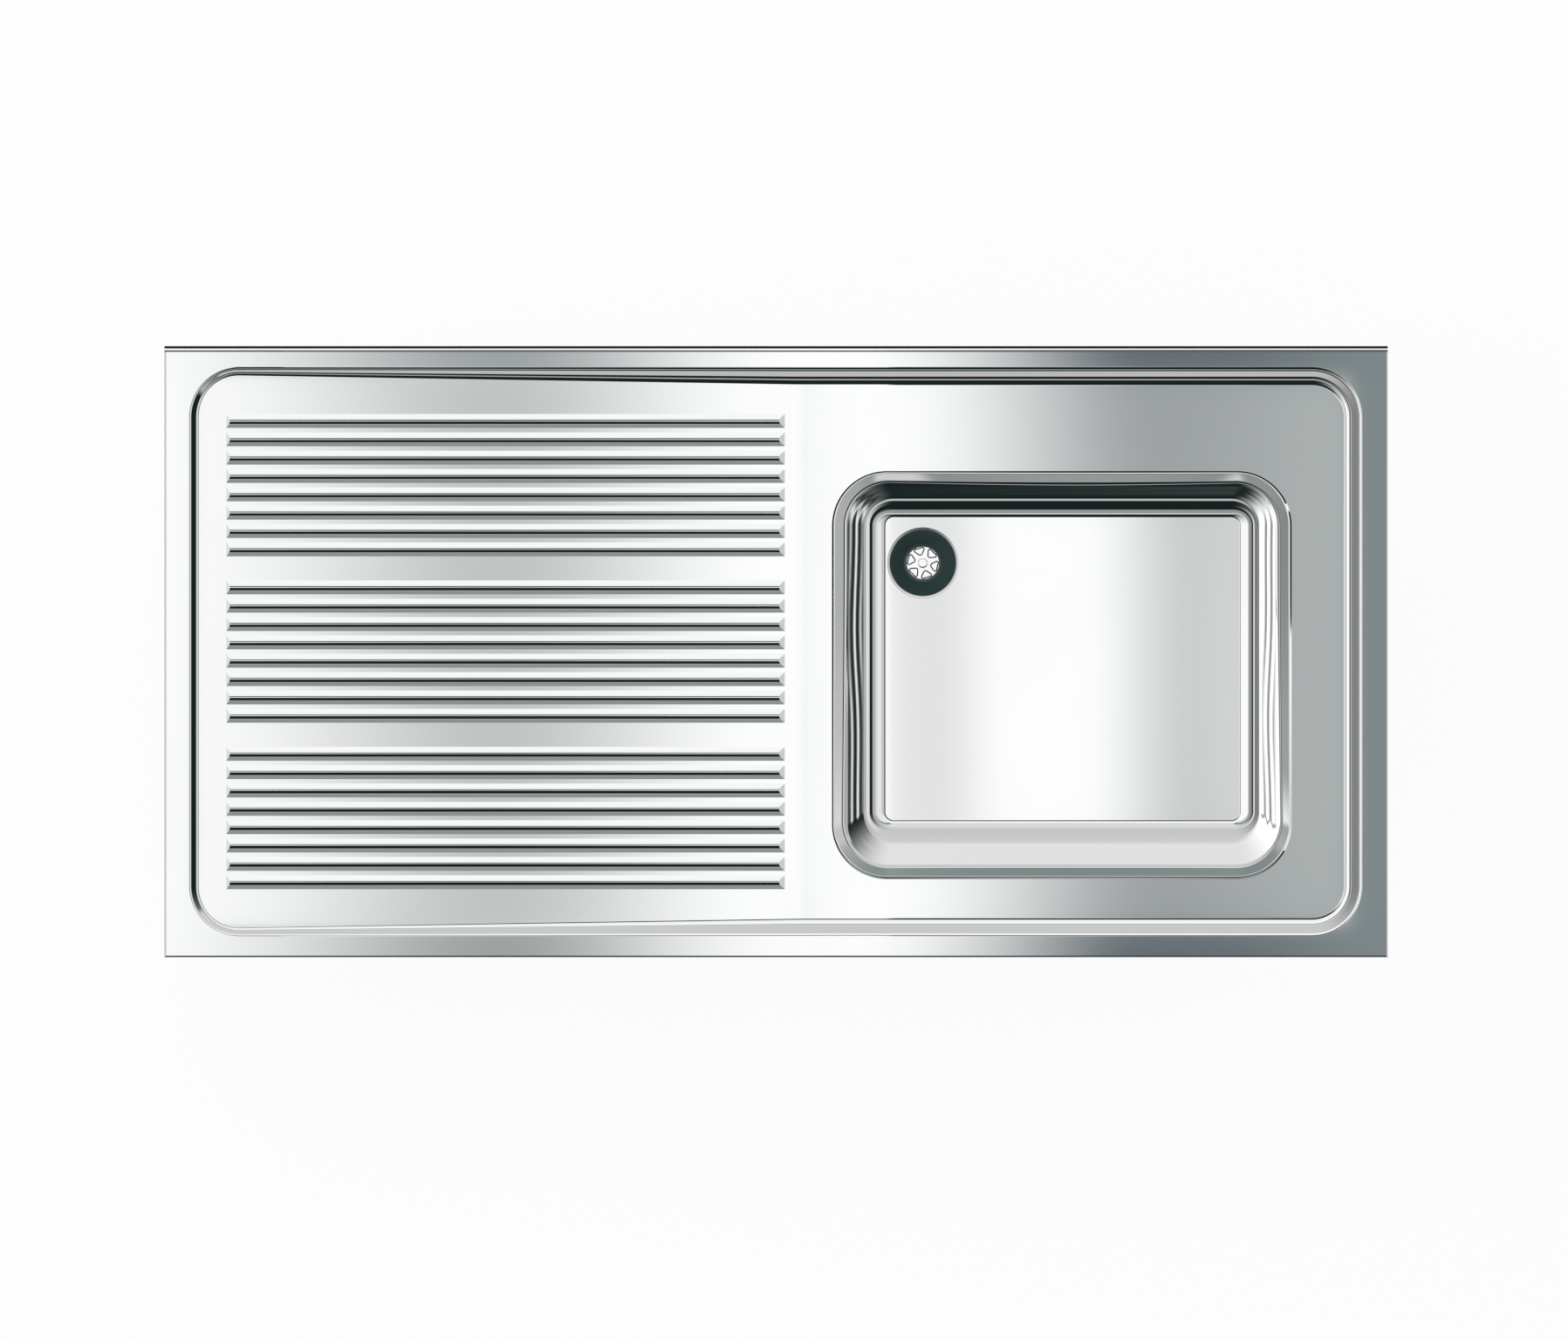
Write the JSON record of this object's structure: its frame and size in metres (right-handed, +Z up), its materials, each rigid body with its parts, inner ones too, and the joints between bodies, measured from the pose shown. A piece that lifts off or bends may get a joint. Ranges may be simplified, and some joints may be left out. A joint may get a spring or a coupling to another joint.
{
  "type": "commercial kitchen sink",
  "caption": "Stainless steel sit-on sink top with a ridged drainer on the left, a deep drawn bowl on the right, a rear upstand and a strainer waste in the bowl's corner.",
  "frame": {"origin": "middle of the plan, on the seat plane under the aprons' turned-in lip", "axes": "+X to the bowl end, +Y to the rear upstand, +Z up"},
  "size_m": [1.4, 0.7, 0.3535],
  "materials": {
    "satin_steel": "satin",
    "bright_steel": "polished",
    "galvanised_steel": "galvanised",
    "zinc_fixing": "zinc plated",
    "deadening_pad": "matt",
    "waste_plastic": "satin",
    "nut_plastic": "moulded",
    "seal_rubber": "matt",
    "insert_brass": "machined"
  },
  "bodies": {
    "sink": {"deck": "satin_steel", "bowl": "satin_steel", "front_rail": "galvanised_steel", "rear_rail": "galvanised_steel", "left_rail": "galvanised_steel", "right_rail": "galvanised_steel", "drainer_stiffener_1": "galvanised_steel", "drainer_stiffener_2": "galvanised_steel", "drainer_stiffener_3": "galvanised_steel", "bowl_stiffener_rear": "galvanised_steel", "bowl_stiffener_right": "galvanised_steel", "drainer_pad_1": "deadening_pad", "drainer_pad_2": "deadening_pad", "drainer_pad_3": "deadening_pad", "drainer_pad_4": "deadening_pad", "bowl_pad_floor": "deadening_pad", "bowl_pad_front": "deadening_pad", "bowl_pad_rear": "deadening_pad", "bowl_pad_left": "deadening_pad", "bowl_pad_right": "deadening_pad", "earth_stud": "zinc_fixing", "earth_washers": "zinc_fixing", "earth_nut": "zinc_fixing", "clamp_studs": "zinc_fixing", "clamp_washers": "zinc_fixing", "waste_body": "waste_plastic", "backnut": "nut_plastic", "slip_washer": "nut_plastic", "flange_seal": "seal_rubber", "under_seal": "seal_rubber", "screw_insert": "insert_brass", "earth_tag": "insert_brass"},
    "strainer": {"strainer": "bright_steel"},
    "strainer_screw": {"strainer_screw": "bright_steel"},
    "clamp_arm_front_left": {"clamp_arm_front_left": "zinc_fixing"},
    "clamp_arm_front_right": {"clamp_arm_front_right": "zinc_fixing"},
    "clamp_arm_rear_left": {"clamp_arm_rear_left": "zinc_fixing"},
    "clamp_arm_rear_right": {"clamp_arm_rear_right": "zinc_fixing"},
    "wing_nut_front_left": {"wing_nut_front_left": "zinc_fixing"},
    "wing_nut_front_right": {"wing_nut_front_right": "zinc_fixing"},
    "wing_nut_rear_left": {"wing_nut_rear_left": "zinc_fixing"},
    "wing_nut_rear_right": {"wing_nut_rear_right": "zinc_fixing"}
  },
  "joints": [
    {"name": "strainer_lift", "type": "slide", "parent": "sink", "child": "strainer", "axis": [0, 0, 1], "range_m": [0, 0.08]},
    {"name": "strainer_screw_turn", "type": "hinge", "parent": "strainer", "child": "strainer_screw", "pos_m": [0.168, 0.1015, -0.241], "axis": [0, 0, 1], "continuous": true},
    {"name": "clamp_arm_front_left_swing", "type": "hinge", "parent": "sink", "child": "clamp_arm_front_left", "pos_m": [-0.55, -0.3, -0.03], "axis": [0, 0, -1], "range_deg": [0, 90]},
    {"name": "wing_nut_front_left_turn", "type": "hinge", "parent": "sink", "child": "wing_nut_front_left", "pos_m": [-0.55, -0.3, -0.036], "axis": [0, 0, 1], "continuous": true},
    {"name": "clamp_arm_front_right_swing", "type": "hinge", "parent": "sink", "child": "clamp_arm_front_right", "pos_m": [0.55, -0.3, -0.03], "axis": [0, 0, 1], "range_deg": [0, 90]},
    {"name": "wing_nut_front_right_turn", "type": "hinge", "parent": "sink", "child": "wing_nut_front_right", "pos_m": [0.55, -0.3, -0.036], "axis": [0, 0, 1], "continuous": true},
    {"name": "clamp_arm_rear_left_swing", "type": "hinge", "parent": "sink", "child": "clamp_arm_rear_left", "pos_m": [-0.55, 0.3, -0.03], "axis": [0, 0, 1], "range_deg": [0, 90]},
    {"name": "wing_nut_rear_left_turn", "type": "hinge", "parent": "sink", "child": "wing_nut_rear_left", "pos_m": [-0.55, 0.3, -0.036], "axis": [0, 0, 1], "continuous": true},
    {"name": "clamp_arm_rear_right_swing", "type": "hinge", "parent": "sink", "child": "clamp_arm_rear_right", "pos_m": [0.55, 0.3, -0.03], "axis": [0, 0, -1], "range_deg": [0, 90]},
    {"name": "wing_nut_rear_right_turn", "type": "hinge", "parent": "sink", "child": "wing_nut_rear_right", "pos_m": [0.55, 0.3, -0.036], "axis": [0, 0, 1], "continuous": true}
  ]
}
